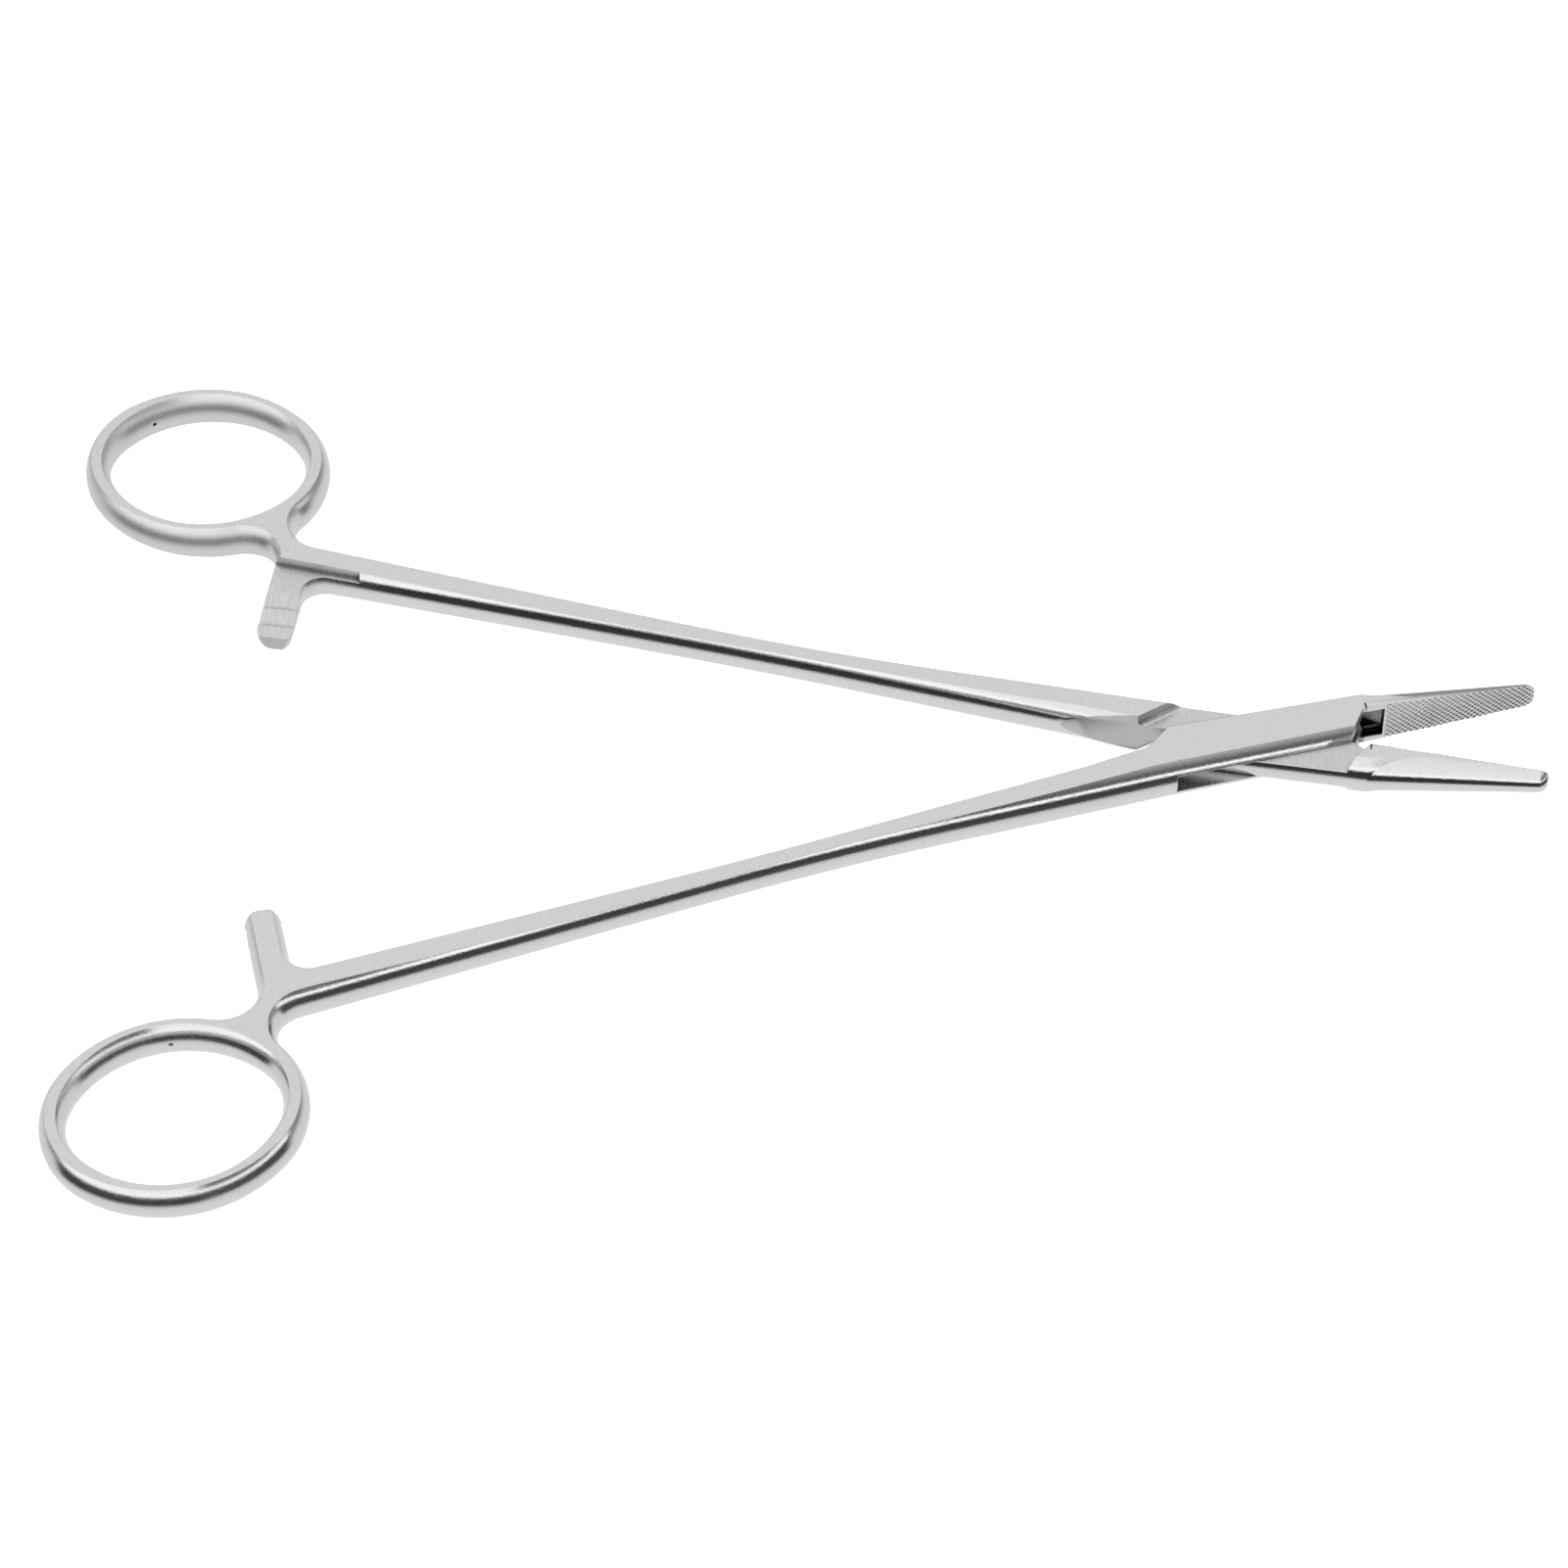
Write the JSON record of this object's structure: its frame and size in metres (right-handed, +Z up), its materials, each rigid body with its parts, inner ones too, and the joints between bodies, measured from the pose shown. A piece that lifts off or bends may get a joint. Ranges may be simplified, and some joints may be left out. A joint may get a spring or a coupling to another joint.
{
  "type": "needle holder",
  "caption": "Stainless steel needle holder with a box lock, cross-serrated tapering jaws, ratchet bars and finger rings, lying open",
  "frame": {"origin": "on the surface it lies on, under the pivot axis, in the flat underside of the box lock", "axes": "+X from the pivot to the jaw tips along the middle of the open jaws, +Y towards the ring of the arm that carries the tongue, +Z up along the pivot axis"},
  "size_m": [0.1727, 0.125, 0.006],
  "materials": {
    "forged_stainless": "satin ground flats, polished rounded sides",
    "pin_stainless": "ground flush with the box"
  },
  "bodies": {
    "box_side": {"box_arm": "forged_stainless", "pivot_pin": "pin_stainless"},
    "tongue_side": {"tongue_arm": "forged_stainless"}
  },
  "joints": [
    {"name": "box_lock", "type": "hinge", "parent": "box_side", "child": "tongue_side", "pos_m": [0, 0, 0.003], "axis": [0, 0, 1], "range_deg": [-38, 21.8]}
  ]
}
